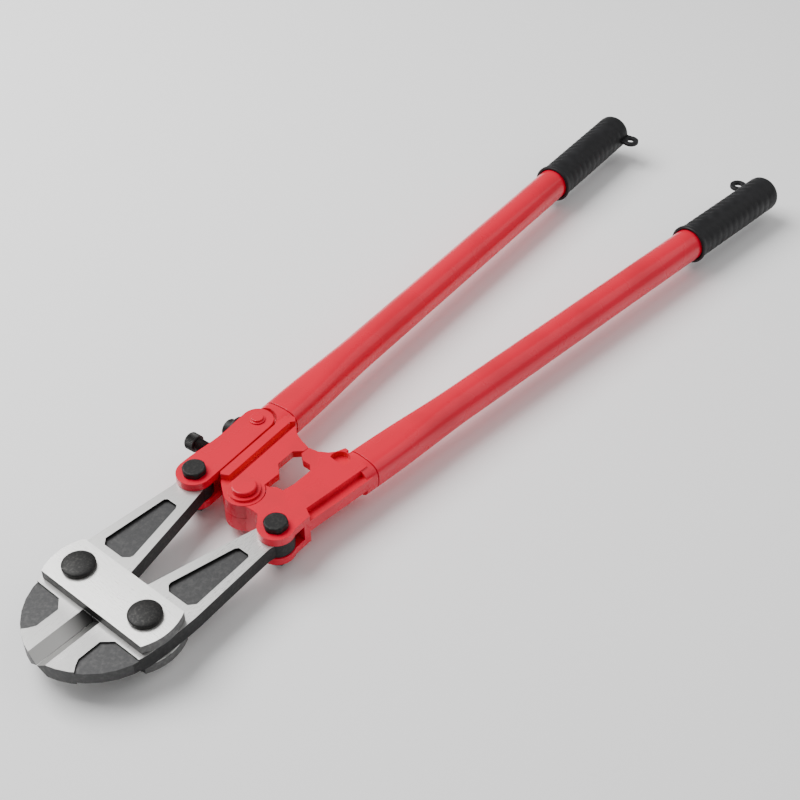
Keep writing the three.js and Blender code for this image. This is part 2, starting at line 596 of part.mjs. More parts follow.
function tailNut(name, side) {
  const top = -(BODY_TOP + GAP);
  const body = hexagon(TAIL_U, side * TAIL_V, TAIL_HEAD_FLATS, top - TAIL_NUT_HEIGHT, top)
    .subtract(rod(TAIL_U, side * TAIL_V, TAIL_BOLT_DIAMETER / 2 + GAP, -BIG, BIG));
  return piece(name, geometryOf(body), blackSteel);
}

// ---- toggle link, its pin and its screws --------------------------------------------------------

function toggleLink() {
  const outline = toggleOutline(0, 0);
  const plates = twin(outline, CHEEK_LOW, BODY_TOP);
  const web = slab(outline, -BODY_TOP, BODY_TOP)
    .intersect(box(LUG_START, BIG, TOGGLE_WEB_INNER, BIG, -BIG, BIG));
  const body = plates.add(web)
    .subtract(rod(TAIL_U, TAIL_V, TAIL_BOLT_DIAMETER / 2 + RUN, -BIG, BIG))
    .subtract(rod(TOGGLE_PIN_ALONG, TOGGLE_PIN_ASIDE, TOGGLE_PIN_DIAMETER / 2 + RUN, -BIG, BIG))
    .subtract(alongV(ADJUSTER_ALONG, ADJUSTER_DIAMETER / 2 + GAP, TOGGLE_WEB_INNER - 1, BIG))
    .subtract(alongV(LOCK_ALONG, LOCK_DIAMETER / 2 + 2 * GAP, TOGGLE_WEB_INNER - 1, BIG));
  return piece('toggle_link', geometryOf(body), redPaint);
}

function togglePin() {
  const shank = TOGGLE_PIN_DIAMETER / 2;
  const seat = BODY_TOP + GAP;
  const head = shank + 1;
  const flange = shank + 2.4;
  const body = turned(TOGGLE_PIN_ALONG, TOGGLE_PIN_ASIDE, [
    [0, -seat - 2.4], [head, -seat - 2.4], [head, -seat - 0.8], [flange, -seat - 0.8], [flange, -seat],
    [shank, -seat], [shank, seat], [flange, seat], [flange, seat + 0.8], [head, seat + 0.8],
    [head, seat + 1.8], [head - 0.9, seat + 2.4], [0, seat + 2.4],
  ]);
  return piece('toggle_pin', geometryOf(body), redPaint);
}

// A hexagonal socket sunk in a screw's head, for cutting.
function socketHole(u, far) {
  const reach = SOCKET_FLATS / Math.sqrt(3);
  const geometry = new THREE.CylinderGeometry(reach, reach, SOCKET_DEPTH + 1, 6);
  return solid(geometry.translate(u, far - SOCKET_DEPTH / 2 + 0.5, 0));
}

function adjustingScrew() {
  const near = LUG_EDGE + GAP;
  const seat = TOGGLE_WAIST + ADJUSTER_OUT;
  const far = seat + ADJUSTER_HEAD_LENGTH;
  const body = alongV(ADJUSTER_ALONG, ADJUSTER_DIAMETER / 2, near, far)
    .add(alongV(ADJUSTER_ALONG, ADJUSTER_HEAD_DIAMETER / 2, seat, far))
    .subtract(socketHole(ADJUSTER_ALONG, far));
  return piece('adjusting_screw', geometryOf(body), blackSteel);
}

const LOCK_SEAT = TOGGLE_PIN_ASIDE + TOGGLE_END_RADIUS + GAP;

function lockWasher() {
  const body = alongV(LOCK_ALONG, LOCK_WASHER_DIAMETER / 2, LOCK_SEAT, LOCK_SEAT + LOCK_WASHER_THICKNESS)
    .subtract(alongV(LOCK_ALONG, LOCK_DIAMETER / 2 + GAP, LOCK_SEAT - 1, BIG));
  return piece('lock_screw_washer', geometryOf(body), blackSteel);
}

function lockScrew() {
  const near = LUG_EDGE - 15;
  const seat = LOCK_SEAT + LOCK_WASHER_THICKNESS + GAP;
  const far = seat + LOCK_HEAD_LENGTH;
  const body = alongV(LOCK_ALONG, LOCK_DIAMETER / 2, near, far)
    .add(alongV(LOCK_ALONG, LOCK_HEAD_DIAMETER / 2, seat, far))
    .subtract(socketHole(LOCK_ALONG, far));
  return piece('lock_screw', geometryOf(body), blackSteel);
}

// ---- assembly -----------------------------------------------------------------------------------

function handle(side, label, parts) {
  const arm = new THREE.Group();
  arm.position.set(PIVOT_X, 0, 0);
  arm.rotation.z = side * SPLAY;
  arm.add(
    ...parts,
    tailBolt(`tail_bolt_${label}`, side),
    tailNut(`tail_nut_${label}`, side),
    handleTube(`handle_tube_${label}`, side),
    grip(`grip_${label}`, side),
  );
  return arm;
}

const group = new THREE.Group();
group.add(strap('strap_top', STRAP_LOW), strap('strap_bottom', -STRAP_TOP), pivotPin(), pivotWasher());
for (const [label, side] of [['left', 1], ['right', -1]]) {
  group.add(
    jaw(`jaw_${label}`, side),
    strapBolt(`strap_bolt_${label}`, side),
    strapWasher(`strap_washer_${label}`, side),
    strapNut(`strap_nut_${label}`, side),
  );
}
group.add(
  handle(1, 'left', [
    leftFitting(), toggleLink(), togglePin(), adjustingScrew(), lockWasher(), lockScrew(),
  ]),
  handle(-1, 'right', [rightFitting()]),
);

// The frame's origin is the middle of the foot of the bounding box.
group.updateMatrixWorld(true);
const bounds = new THREE.Box3().setFromObject(group, true);
group.position.set(-(bounds.min.x + bounds.max.x) / 2, -(bounds.min.y + bounds.max.y) / 2, -bounds.min.z);

export default group;
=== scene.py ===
from math import cos, hypot, pi, radians, sin, sqrt

import bmesh
import bpy
from mathutils import Matrix, Vector


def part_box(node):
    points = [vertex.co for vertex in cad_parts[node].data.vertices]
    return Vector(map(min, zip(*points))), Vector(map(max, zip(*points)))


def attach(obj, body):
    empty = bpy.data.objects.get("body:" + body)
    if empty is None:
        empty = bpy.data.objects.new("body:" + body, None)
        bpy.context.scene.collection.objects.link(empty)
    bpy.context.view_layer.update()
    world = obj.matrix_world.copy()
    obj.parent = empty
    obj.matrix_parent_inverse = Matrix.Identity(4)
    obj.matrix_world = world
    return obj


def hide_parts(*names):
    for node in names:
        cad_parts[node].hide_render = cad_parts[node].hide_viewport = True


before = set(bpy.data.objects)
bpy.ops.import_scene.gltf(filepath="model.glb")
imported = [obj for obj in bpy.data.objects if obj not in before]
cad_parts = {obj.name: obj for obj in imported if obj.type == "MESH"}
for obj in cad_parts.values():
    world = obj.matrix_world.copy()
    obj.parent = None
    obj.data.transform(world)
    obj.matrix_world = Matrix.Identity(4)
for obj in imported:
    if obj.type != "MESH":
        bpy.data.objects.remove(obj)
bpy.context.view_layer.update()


# ---- Strap plates ----
# Two plates of bar steel, one over and one under the jaws, cut to length, drilled for the two
# strap bolts and ground bright on the flats. The cut sides keep their black finish, with painted
# shade on the straight sides and a painted reflection on the rounded ends.

MM = 0.001
STRAP_EDGE = 0.5
GROUND_STEEL = (0.84, 0.832, 0.81, 1)
GROUND_STREAK = (0.66, 0.655, 0.64, 1)
STEEL_METALLIC = 0.6
STRAP_LINES = (3800, 160, 900)
DOUBLES_REACH = 0.02
FLAT_ANGLE = radians(0.6)
SMOOTH_ANGLE = radians(30)
FINISH_OUTPUTS = [
    ("Color", "NodeSocketColor"), ("Roughness", "NodeSocketFloat"), ("Height", "NodeSocketFloat"),
]


def feed(tree, value, socket):
    """Sets a socket to a plain value, or links it to another node's output."""
    if isinstance(value, bpy.types.NodeSocket):
        tree.links.new(value, socket)
    else:
        socket.default_value = value


def shader_group(name, inputs, outputs):
    """An empty node group with named sockets, and the sockets at its two ends."""
    tree = bpy.data.node_groups.new(name, "ShaderNodeTree")
    for label, kind, value in inputs:
        socket = tree.interface.new_socket(label, in_out="INPUT", socket_type=kind)
        if value is not None:
            socket.default_value = value
    for label, kind in outputs:
        tree.interface.new_socket(label, in_out="OUTPUT", socket_type=kind)
    return tree, tree.nodes.new("NodeGroupInput").outputs, tree.nodes.new("NodeGroupOutput").inputs


def arithmetic(tree, operation, *values):
    node = tree.nodes.new("ShaderNodeMath")
    node.operation = operation
    for value, socket in zip(values, node.inputs):
        feed(tree, value, socket)
    return node.outputs["Value"]


def noise(tree, place, scale, detail):
    node = tree.nodes.new("ShaderNodeTexNoise")
    node.inputs["Scale"].default_value = scale
    node.inputs["Detail"].default_value = detail
    feed(tree, place, node.inputs["Vector"])
    return node.outputs["Fac"]


def mask_between(tree, value, low, high):
    """A smooth 0 to 1 mask as the value goes from low to high."""
    node = tree.nodes.new("ShaderNodeMapRange")
    node.interpolation_type = "SMOOTHSTEP"
    for label, source in (("Value", value), ("From Min", low), ("From Max", high)):
        feed(tree, source, node.inputs[label])
    return node.outputs["Result"]


def spread(tree, mask, low, high):
    """A value that goes from low to high as the mask goes from 0 to 1."""
    node = tree.nodes.new("ShaderNodeMapRange")
    for label, source in (("Value", mask), ("To Min", low), ("To Max", high)):
        feed(tree, source, node.inputs[label])
    return node.outputs["Result"]


def blended(tree, mask, first, second):
    """The first colour where the mask is 0, and the second where it is 1."""
    node = tree.nodes.new("ShaderNodeMix")
    node.data_type = "RGBA"
    colours = [socket for socket in node.inputs if socket.type == "RGBA"]
    for source, socket in zip((mask, first, second), (node.inputs["Factor"], *colours)):
        feed(tree, source, socket)
    return next(socket for socket in node.outputs if socket.type == "RGBA")


def grain_group():
    """Fine lines left by the grinding belt, with a faint cloudiness across them."""
    tree, entry, leave = shader_group("grinding_grain", [
        ("Vector", "NodeSocketVector", None),
        ("Steel", "NodeSocketColor", GROUND_STEEL),
        ("Streak", "NodeSocketColor", GROUND_STREAK),
        ("Smoothest", "NodeSocketFloat", 0.26),
        ("Roughest", "NodeSocketFloat", 0.46),
    ], FINISH_OUTPUTS)
    lines = noise(tree, entry["Vector"], 1, 3)
    clouds = noise(tree, entry["Vector"], 0.02, 4)
    line = mask_between(tree, lines, 0.36, 0.68)
    cloud = mask_between(tree, clouds, 0.35, 0.72)
    marks = arithmetic(tree, "MULTIPLY_ADD", cloud, 0.35, line)
    share = arithmetic(tree, "MULTIPLY", marks, 0.62)
    feed(tree, blended(tree, share, entry["Steel"], entry["Streak"]), leave["Color"])
    feed(tree, spread(tree, share, entry["Smoothest"], entry["Roughest"]), leave["Roughness"])
    feed(tree, lines, leave["Height"])
    return tree


GRAIN = grain_group()


def new_material(name, metallic):
    material = bpy.data.materials.new(name)
    material.use_nodes = True
    shader = material.node_tree.nodes["Principled BSDF"]
    shader.inputs["Metallic"].default_value = metallic
    return material, material.node_tree, shader


def place_group(tree, group, values, scale):
    """A group fed with Object coordinates through a Mapping node, with this material's values."""
    mapping = tree.nodes.new("ShaderNodeMapping")
    mapping.inputs["Scale"].default_value = scale
    feed(tree, tree.nodes.new("ShaderNodeTexCoord").outputs["Object"], mapping.inputs["Vector"])
    node = tree.nodes.new("ShaderNodeGroup")
    node.node_tree = group
    feed(tree, mapping.outputs["Vector"], node.inputs["Vector"])
    for label, value in values.items():
        feed(tree, value, node.inputs[label])
    return node.outputs


def wire_finish(tree, shader, finish, strength, depth):
    """Gives the shader a finish's colour, roughness and relief; depth is in millimetres."""
    bump = tree.nodes.new("ShaderNodeBump")
    bump.inputs["Strength"].default_value = strength
    bump.inputs["Distance"].default_value = depth * MM
    feed(tree, finish["Height"], bump.inputs["Height"])
    feed(tree, finish["Color"], shader.inputs["Base Color"])
    feed(tree, finish["Roughness"], shader.inputs["Roughness"])
    feed(tree, bump.outputs["Normal"], shader.inputs["Normal"])


def ground_steel(name, scale, steel=GROUND_STEEL, streak=GROUND_STREAK):
    """Bright steel whose grinding lines, so many to the metre, run along the axis with fewest."""
    material, tree, shader = new_material(name, STEEL_METALLIC)
    grain = place_group(tree, GRAIN, {"Steel": steel, "Streak": streak}, scale)
    wire_finish(tree, shader, grain, 0.25, 0.03)
    return material


def cad_blank(node):
    """A CAD node's mesh as a clean solid: its doubles merged and its flat faces made whole."""
    bm = bmesh.new()
    bm.from_mesh(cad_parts[node].data)
    bmesh.ops.remove_doubles(bm, verts=bm.verts, dist=DOUBLES_REACH * MM)
    bmesh.ops.dissolve_limit(
        bm, angle_limit=FLAT_ANGLE, use_dissolve_boundaries=False, verts=bm.verts,
        edges=bm.edges, delimit=set(),
    )
    return bm


def finished(name, bm, materials, body, node, edge=0):
    """Makes a blank an object: its edges rounded by `edge` millimetres, its finish and its body."""
    mesh = bpy.data.meshes.new(name)
    bm.normal_update()
    for face in bm.faces:
        face.smooth = True
    for seam in bm.edges:
        seam.smooth = len(seam.link_faces) == 2 and seam.calc_face_angle(0) < SMOOTH_ANGLE
    bm.to_mesh(mesh)
    bm.free()
    for material in materials:
        mesh.materials.append(material)
    piece = bpy.data.objects.new(name, mesh)
    bpy.context.scene.collection.objects.link(piece)
    if edge:
        rounding = piece.modifiers.new("rounded_edges", "BEVEL")
        rounding.width = edge * MM
        rounding.segments = 3
        rounding.limit_method = "ANGLE"
        rounding.angle_limit = SMOOTH_ANGLE
        rounding.harden_normals = True
    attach(piece, body)
    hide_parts(node)


SCALE_BLACK = (0.006, 0.006, 0.006, 1)
SCALE_DARK = (0.018, 0.018, 0.019, 1)
# Lighter black scale, and also the colour of the painted shade at the throat of the bevels.
LIGHT_SCALE_AND_THROAT_SHADE = (0.045, 0.044, 0.043, 1)
# The rounded ends' black finish, made lighter as a painted reflection.
END_REFLECTION_DARK = (0.1, 0.1, 0.1, 1)
END_REFLECTION_LIGHT = (0.2, 0.198, 0.195, 1)


def scale_group():
    """Mottled black scale or oxide: small pits and lighter rubbed spots."""
    tree, entry, leave = shader_group("black_scale", [
        ("Vector", "NodeSocketVector", None),
        ("Dark", "NodeSocketColor", SCALE_DARK),
        ("Light", "NodeSocketColor", LIGHT_SCALE_AND_THROAT_SHADE),
        ("Rubbed", "NodeSocketFloat", 0.5),
    ], FINISH_OUTPUTS)
    pits = noise(tree, entry["Vector"], 1, 5)
    spots = noise(tree, entry["Vector"], 0.45, 3)
    spot = mask_between(tree, spots, 0.42, 0.75)
    pit = mask_between(tree, pits, 0.35, 0.7)
    rubbed = arithmetic(tree, "MULTIPLY", spot, entry["Rubbed"])
    share = arithmetic(tree, "MULTIPLY_ADD", pit, 0.2, rubbed)
    feed(tree, blended(tree, share, entry["Dark"], entry["Light"]), leave["Color"])
    feed(tree, spread(tree, share, 0.5, 0.38), leave["Roughness"])
    feed(tree, pits, leave["Height"])
    return tree


BLACK_SCALE = scale_group()


def black_finish(name, dark, light, rubbed, size, depth, metallic=0.5):
    """Black scale or oxide whose pits are `size` millimetres across and `depth` deep."""
    material, tree, shader = new_material(name, metallic)
    shader.inputs["Specular IOR Level"].default_value = 0.3
    colours = {"Dark": dark, "Light": light, "Rubbed": rubbed}
    scale = place_group(tree, BLACK_SCALE, colours, (1 / (size * MM),) * 3)
    wire_finish(tree, shader, scale, 0.3, depth)
    return material


UPRIGHT_SIDE = 0.5
CUT_SIDE_FACING = 0.97
STRAP_STEEL = ground_steel("strap_steel_ground", STRAP_LINES)
# One black finish in two copies: darker on the straight sides as painted shade, and lighter on the
# rounded ends as a painted reflection.
CUT_SIDE_SHADE = black_finish("cut_side_scale_painted_shade", SCALE_BLACK, SCALE_DARK, 0.3, 1.2, 0.06, 0.1)
ROUNDED_END_REFLECTION = black_finish("rounded_end_scale_painted_reflection", END_REFLECTION_DARK, END_REFLECTION_LIGHT, 0.5, 1.2, 0.06)

for label in ("top", "bottom"):
    plate = cad_blank(f"strap_{label}")
    plate.normal_update()
    for face in plate.faces:
        if abs(face.normal.z) < UPRIGHT_SIDE:
            face.material_index = 1 if abs(face.normal.x) > CUT_SIDE_FACING else 2
    finished(f"strap_plate_{label}", plate, [STRAP_STEEL, CUT_SIDE_SHADE, ROUNDED_END_REFLECTION], "straps",
             f"strap_{label}", STRAP_EDGE)


# ---- Jaws ----
# Two drop-forged jaws of alloy steel. The forging keeps its black scale on the sides and in the
# sunk panels, and the flat faces and the bevels of the cutting edge are ground bright.


def middle(node):
    low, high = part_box(node)
    return (Vector(low) + Vector(high)) / 2


JAW_EDGE = 0.35
JAW_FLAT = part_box("jaw_left")[1][2] - middle("jaw_left").z
PANEL_SINK = 1 * MM
BOLTS_X = middle("strap_top").x
NOSE_WALL = BOLTS_X - 22 * MM
NOSE_START = BOLTS_X - 14 * MM
NOSE_END = BOLTS_X - 32 * MM
THROAT_START = BOLTS_X - 16 * MM
THROAT_END = BOLTS_X - 44 * MM
LEVEL_FACE = 0.99
STEEP_FACE = 0.3
JAW_LINES = (170, 3600, 900)
JAW_BRIGHT = (0.64, 0.634, 0.62, 1)
JAW_STREAK = (0.48, 0.475, 0.465, 1)
NOSE_PAINTED_SHADE = (0.33, 0.327, 0.32, 1)
CUTTING_STEEL = (0.43, 0.426, 0.416, 1)
CUTTING_ROUGHNESS = 0.34
PANEL_DARK = (0.047, 0.047, 0.048, 1)
PANEL_LIGHT = (0.082, 0.081, 0.079, 1)


def shading_group():
    """Steel that turns from one colour to another along the tool, as painted shade: the Steel colour at
    Bright, the Scale colour at Dark.
    """
    tree, entry, leave = shader_group("steel_shading", [
        ("Vector", "NodeSocketVector", None),
        ("Bright", "NodeSocketFloat", -1.0),
        ("Dark", "NodeSocketFloat", 1.0),
        ("Steel", "NodeSocketColor", GROUND_STEEL),
        # The Scale colour is the painted shade's colour, not a scale finish.
        ("Scale", "NodeSocketColor", LIGHT_SCALE_AND_THROAT_SHADE),
    ], [("Color", "NodeSocketColor")])
    parts = tree.nodes.new("ShaderNodeSeparateXYZ")
    feed(tree, entry["Vector"], parts.inputs["Vector"])
    mask = mask_between(tree, parts.outputs["X"], entry["Bright"], entry["Dark"])
    feed(tree, blended(tree, mask, entry["Steel"], entry["Scale"]), leave["Color"])
    return tree


SHADING = shading_group()


def jaw_steel(name):
    """Ground steel with painted shade towards the nose, where the steel reflects less light."""
    material = ground_steel(name, JAW_LINES, JAW_BRIGHT, JAW_STREAK)
    tree = material.node_tree
    base_color = tree.nodes["Principled BSDF"].inputs["Base Color"]
    # The darker colour towards the nose is painted shade.
    nose = place_group(tree, SHADING, {
        "Bright": NOSE_START, "Dark": NOSE_END, "Steel": base_color.links[0].from_socket,
        "Scale": NOSE_PAINTED_SHADE,
    }, (1, 1, 1))
    feed(tree, nose["Color"], base_color)
    return material


def bevel_steel(name):
    """Ground steel with painted shade towards the throat, where the strap shades the bevels."""
    material, tree, shader = new_material(name, STEEL_METALLIC)
    # The darker colour towards the throat is painted shade.
    throat = place_group(tree, SHADING, {
        "Bright": THROAT_END, "Dark": THROAT_START, "Steel": CUTTING_STEEL,
    }, (1, 1, 1))
    shader.inputs["Roughness"].default_value = CUTTING_ROUGHNESS
    feed(tree, throat["Color"], shader.inputs["Base Color"])
    return material


JAW_FINISHES = [
    jaw_steel("jaw_steel_ground"),
    black_finish("panel_scale", PANEL_DARK, PANEL_LIGHT, 0.45, 1.3, 0.1),
    black_finish("side_scale", SCALE_DARK, LIGHT_SCALE_AND_THROAT_SHADE, 0.5, 0.9, 0.1),
    bevel_steel("cutting_bevel_ground"),
]
GROUND, PANEL, SIDE, BEVEL = range(4)


def jaw_finish(face, mid_level):
    """Which finish a face of a jaw has, by its slope and its place."""
    centre = face.calc_center_median()
    slope = abs(face.normal.z)
    if slope > LEVEL_FACE and abs(centre.z - mid_level) < JAW_FLAT - PANEL_SINK:
        return PANEL
    if STEEP_FACE < slope < LEVEL_FACE:
        return BEVEL
    if slope <= STEEP_FACE:
        return PANEL if centre.x < NOSE_WALL else SIDE
    return GROUND


for label in ("left", "right"):
    node = f"jaw_{label}"
    jaw = cad_blank(node)
    jaw.normal_update()
    for face in jaw.faces:
        face.material_index = jaw_finish(face, middle(node).z)
    finished(f"forged_jaw_{label}", jaw, JAW_FINISHES, node, node, JAW_EDGE)


# ---- Strap bolts ----
# Two heavy alloy bolts on which the jaws turn, with low domed heads on top and a washer and a
# hexagon nut below, all heat treated and black oxide finished.

BOLT_DARK = (0.014, 0.014, 0.014, 1)
BOLT_LIGHT = (0.04, 0.0385, 0.036, 1)
STRAP_BOLT_RADIUS = 7
STRAP_HEAD_RADIUS = 11.5
STRAP_HEAD_RIM = 2.4
STRAP_HEAD_DOME = 2
STRAP_NUT_FLATS = 21
STRAP_WASHER_RADIUS = 12.5
BORE_PLAY = 0.3
BOLT_EDGE = 0.4
NUT_EDGE = 0.2
NUT_SEAT_SHARE = 0.97
ROUND_STEPS = 72


def turned(profile, steps=ROUND_STEPS):
    """A round piece on Z, in millimetres, from a profile of radius and height."""
    bm = bmesh.new()
    points = [bm.verts.new((radius, 0, height)) for radius, height in profile]
    lines = [bm.edges.new(pair) for pair in zip(points, points[1:])]
    if profile[0][0] > 0:
        lines.append(bm.edges.new((points[-1], points[0])))
    bmesh.ops.spin(
        bm, geom=points + lines, cent=(0, 0, 0), axis=(0, 0, 1), dvec=(0, 0, 0), angle=2 * pi,
        steps=steps, use_merge=True, use_normal_flip=False, use_duplicate=False,
    )
    bmesh.ops.remove_doubles(bm, verts=bm.verts, dist=1e-4)
    bmesh.ops.recalc_face_normals(bm, faces=bm.faces)
    return bm


def washer_blank(bore, radius, low, high):
    """A flat ring on Z between two levels."""
    return turned([(bore, low), (radius, low), (radius, high), (bore, high)])


def turn_of(vertex):
    """A vertex's angle about Z, from X."""
    return Vector(vertex.co.xy).angle_signed(Vector((1, 0)), 0)


def draw_in(vertex, share):
    """Moves a vertex towards the Z axis, to a share of its radius."""
    vertex.co.x *= share
    vertex.co.y *= share


def hexagon_reach(vertex, flats):
    """Distance from the axis to a hexagon's side in the direction of a vertex."""
    return flats / 2 / cos(turn_of(vertex) % (pi / 3) - pi / 6)


def mill_flats(bm, flats):
    """Cuts six flats on a turned blank: nothing stays outside the hexagon."""
    for vertex in bm.verts:
        reach = hypot(vertex.co.x, vertex.co.y)
        limit = hexagon_reach(vertex, flats)
        if reach > limit:
            draw_in(vertex, limit / reach)


def nut_blank(flats, bore, height):
    """A hexagon nut on Z whose corners are chamfered at both ends."""
    corner = flats / sqrt(3)
    seat = flats / 2 * NUT_SEAT_SHARE
    rise = (corner - seat) / 2
    rings = [(corner, height * share) for share in (0.25, 0.4, 0.5, 0.6, 0.75)]
    bm = turned([
        (bore, 0), (seat, 0), (corner, rise), *rings, (corner, height - rise), (seat, height),
        (bore, height),
    ])
    mill_flats(bm, flats)
    return bm


def thread_blank(radius, pitch, low, high, steps=48):
    """A threaded rod on Z: a vee-shaped ridge wound up a core and cut off square at both ends."""
    bm = bmesh.new()
    points = []
    for index in range(2 * int((high - low) / pitch) + 7):
        reach = radius if index % 2 else radius - pitch / 2
        points.append(bm.verts.new((reach, 0, low - 1.5 * pitch + index * pitch / 2)))
    lines = [bm.edges.new(pair) for pair in zip(points, points[1:])]
    bmesh.ops.spin(
        bm, geom=points + lines, cent=(0, 0, 0), axis=(0, 0, 1), dvec=(0, 0, pitch / steps),
        angle=2 * pi, steps=steps, use_merge=False, use_normal_flip=False, use_duplicate=False,
    )
    bmesh.ops.remove_doubles(bm, verts=bm.verts, dist=1e-3)
    for height, way in ((low, -1), (high, 1)):
        cut = bmesh.ops.bisect_plane(
            bm, geom=bm.verts[:] + bm.edges[:] + bm.faces[:], dist=1e-5, plane_co=(0, 0, height),
            plane_no=(0, 0, way), use_snap_center=False, clear_outer=True, clear_inner=False,
        )
        rim = [item for item in cut["geom_cut"] if isinstance(item, bmesh.types.BMEdge)]
        bmesh.ops.edgeloop_fill(bm, edges=rim, mat_nr=0, use_smooth=False)
    bmesh.ops.recalc_face_normals(bm, faces=bm.faces)
    return bm


def put(bm, place, axis=None):
    """Moves a blank from millimetres about its own axis to its place in the tool."""
    bmesh.ops.scale(bm, vec=(MM, MM, MM), verts=bm.verts)
    if axis is not None:
        turn = Vector((0, 0, 1)).rotation_difference(axis).to_matrix()
        bmesh.ops.rotate(bm, cent=(0, 0, 0), matrix=turn, verts=bm.verts)
    bmesh.ops.translate(bm, vec=place, verts=bm.verts)
    return bm


def joined(first, other):
    """One blank of two shells."""
    mesh = bpy.data.meshes.new("shell")
    other.to_mesh(mesh)
    other.free()
    first.from_mesh(mesh)
    bpy.data.meshes.remove(mesh)
    return first


def on_floor(node):
    """The floor's point straight under a node's middle."""
    place = middle(node)
    place.z = 0
    return place


def rises(node):
    """A node's lowest and highest level, in millimetres above the floor."""
    low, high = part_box(node)
    return low[2] / MM, high[2] / MM


def fit_nut(name, flats, bore, axis, body, node):
    """Makes the hexagon nut that stands for a node, on its bolt's axis."""
    low, high = rises(node)
    nut = nut_blank(flats, bore + BORE_PLAY, high - low)
    place = axis + Vector((0, 0, low * MM))
    finished(name, put(nut, place), [OXIDE], body, node, NUT_EDGE)


OXIDE = black_finish("bolt_oxide", BOLT_DARK, BOLT_LIGHT, 0.7, 0.7, 0.05)

for label in ("left", "right"):
    place = on_floor(f"strap_bolt_{label}")
    foot, top = rises(f"strap_bolt_{label}")
    rim = top - STRAP_HEAD_DOME
    seat = rim - STRAP_HEAD_RIM
    turns = [radians(step * 10) for step in range(9)]
    dome = [(STRAP_HEAD_RADIUS * cos(turn), rim + STRAP_HEAD_DOME * sin(turn)) for turn in turns]
    head = turned([
        (0, foot), (STRAP_BOLT_RADIUS, foot), (STRAP_BOLT_RADIUS, seat), (STRAP_HEAD_RADIUS, seat),
        *dome, (0, top),
    ])
    finished(f"domed_strap_bolt_{label}", put(head, place), [OXIDE], "straps",
             f"strap_bolt_{label}", BOLT_EDGE)
    fit_nut(f"strap_hexagon_nut_{label}", STRAP_NUT_FLATS, STRAP_BOLT_RADIUS, place, "straps",
            f"strap_nut_{label}")
    washer = washer_blank(STRAP_BOLT_RADIUS + BORE_PLAY, STRAP_WASHER_RADIUS,
                          *rises(f"strap_washer_{label}"))
    finished(f"strap_round_washer_{label}", put(washer, place), [OXIDE], "straps",
             f"strap_washer_{label}", NUT_EDGE)


# ---- Handle fittings ----
# Two forged steel fittings that halve into each other at the handle pivot. Each takes a jaw's tail
# at its front and ends in a boss and a spigot in its tube, and both are enamelled gloss red.

FITTING_EDGE = 0.9
PAINT_RED = (0.74, 0.004, 0.034, 1)
PAINT_DEEP = (0.64, 0.003, 0.027, 1)
ORANGE_PEEL = 1.6


def enamel_group():
    """Baked enamel: an even red with slightly deeper clouds, and the orange peel of its surface."""
    tree, entry, leave = shader_group("baked_enamel", [
        ("Vector", "NodeSocketVector", None),
        ("Paint", "NodeSocketColor", PAINT_RED),
        ("Deep", "NodeSocketColor", PAINT_DEEP),
        ("Gloss", "NodeSocketFloat", 0.24),
        ("Dull", "NodeSocketFloat", 0.4),
    ], FINISH_OUTPUTS)
    clouds = noise(tree, entry["Vector"], 0.06, 4)
    peel = noise(tree, entry["Vector"], 1, 2)
    cloud = mask_between(tree, clouds, 0.4, 0.75)
    feed(tree, blended(tree, cloud, entry["Paint"], entry["Deep"]), leave["Color"])
    feed(tree, spread(tree, cloud, entry["Gloss"], entry["Dull"]), leave["Roughness"])
    feed(tree, peel, leave["Height"])
    return tree


ENAMEL = enamel_group()


def red_enamel(name, size, depth, coat):
    """Gloss enamel whose orange peel is `size` millimetres across and `depth` deep."""
    material, tree, shader = new_material(name, 0)
    shader.inputs["Specular IOR Level"].default_value = 0.22
    shader.inputs["Coat Weight"].default_value = coat
    shader.inputs["Coat Roughness"].default_value = 0.09
    enamel = place_group(tree, ENAMEL, {}, (1 / (size * MM),) * 3)
    wire_finish(tree, shader, enamel, 0.25, depth)
    return material


FORGED_ENAMEL = red_enamel("enamel_on_forging", ORANGE_PEEL, 0.04, 0.2)

for label in ("left", "right"):
    node = f"fitting_{label}"
    finished(f"forged_fitting_{label}", cad_blank(node), [FORGED_ENAMEL], f"handle_{label}",
             node, FITTING_EDGE)


# ---- Handle pivot ----
# A headed pin through both halves of the lap, riveted over a washer below and painted with the
# fittings, so that the handles swing on it and no nut can work loose.

PIN_EDGE = 0.9
PIN_RADIUS = 6
PIN_HEAD_RADIUS = 8.8
PIN_HEAD_HEIGHT = 3.7
PIN_HEAD_CHAMFER = 0.5
RIVETED_RADIUS = PIN_RADIUS + 1.6
RIVETED_HEIGHT = 2
RIVETED_CHAMFER = 1
PIVOT_WASHER_RADIUS = 10.3
PIVOT_WASHER_PLAY = 0.15
PIVOT_WASHER_EDGE = 0.4

pivot = on_floor("pivot_pin")
foot, top = rises("pivot_pin")
seat = top - PIN_HEAD_HEIGHT
pin = turned([
    (0, foot), (RIVETED_RADIUS - RIVETED_CHAMFER, foot), (RIVETED_RADIUS, foot + RIVETED_CHAMFER),
    (RIVETED_RADIUS, foot + RIVETED_HEIGHT), (PIN_RADIUS, foot + RIVETED_HEIGHT), (PIN_RADIUS, seat),
    (PIN_HEAD_RADIUS, seat), (PIN_HEAD_RADIUS, top - PIN_HEAD_CHAMFER),
    (PIN_HEAD_RADIUS - PIN_HEAD_CHAMFER, top), (0, top),
])
finished("riveted_pivot_pin", put(pin, pivot), [FORGED_ENAMEL], "pivot", "pivot_pin",
         PIN_EDGE)
washer = washer_blank(PIN_RADIUS + PIVOT_WASHER_PLAY, PIVOT_WASHER_RADIUS, *rises("pivot_washer"))
finished("pivot_round_washer", put(washer, pivot), [FORGED_ENAMEL], "pivot",
         "pivot_washer", PIVOT_WASHER_EDGE)


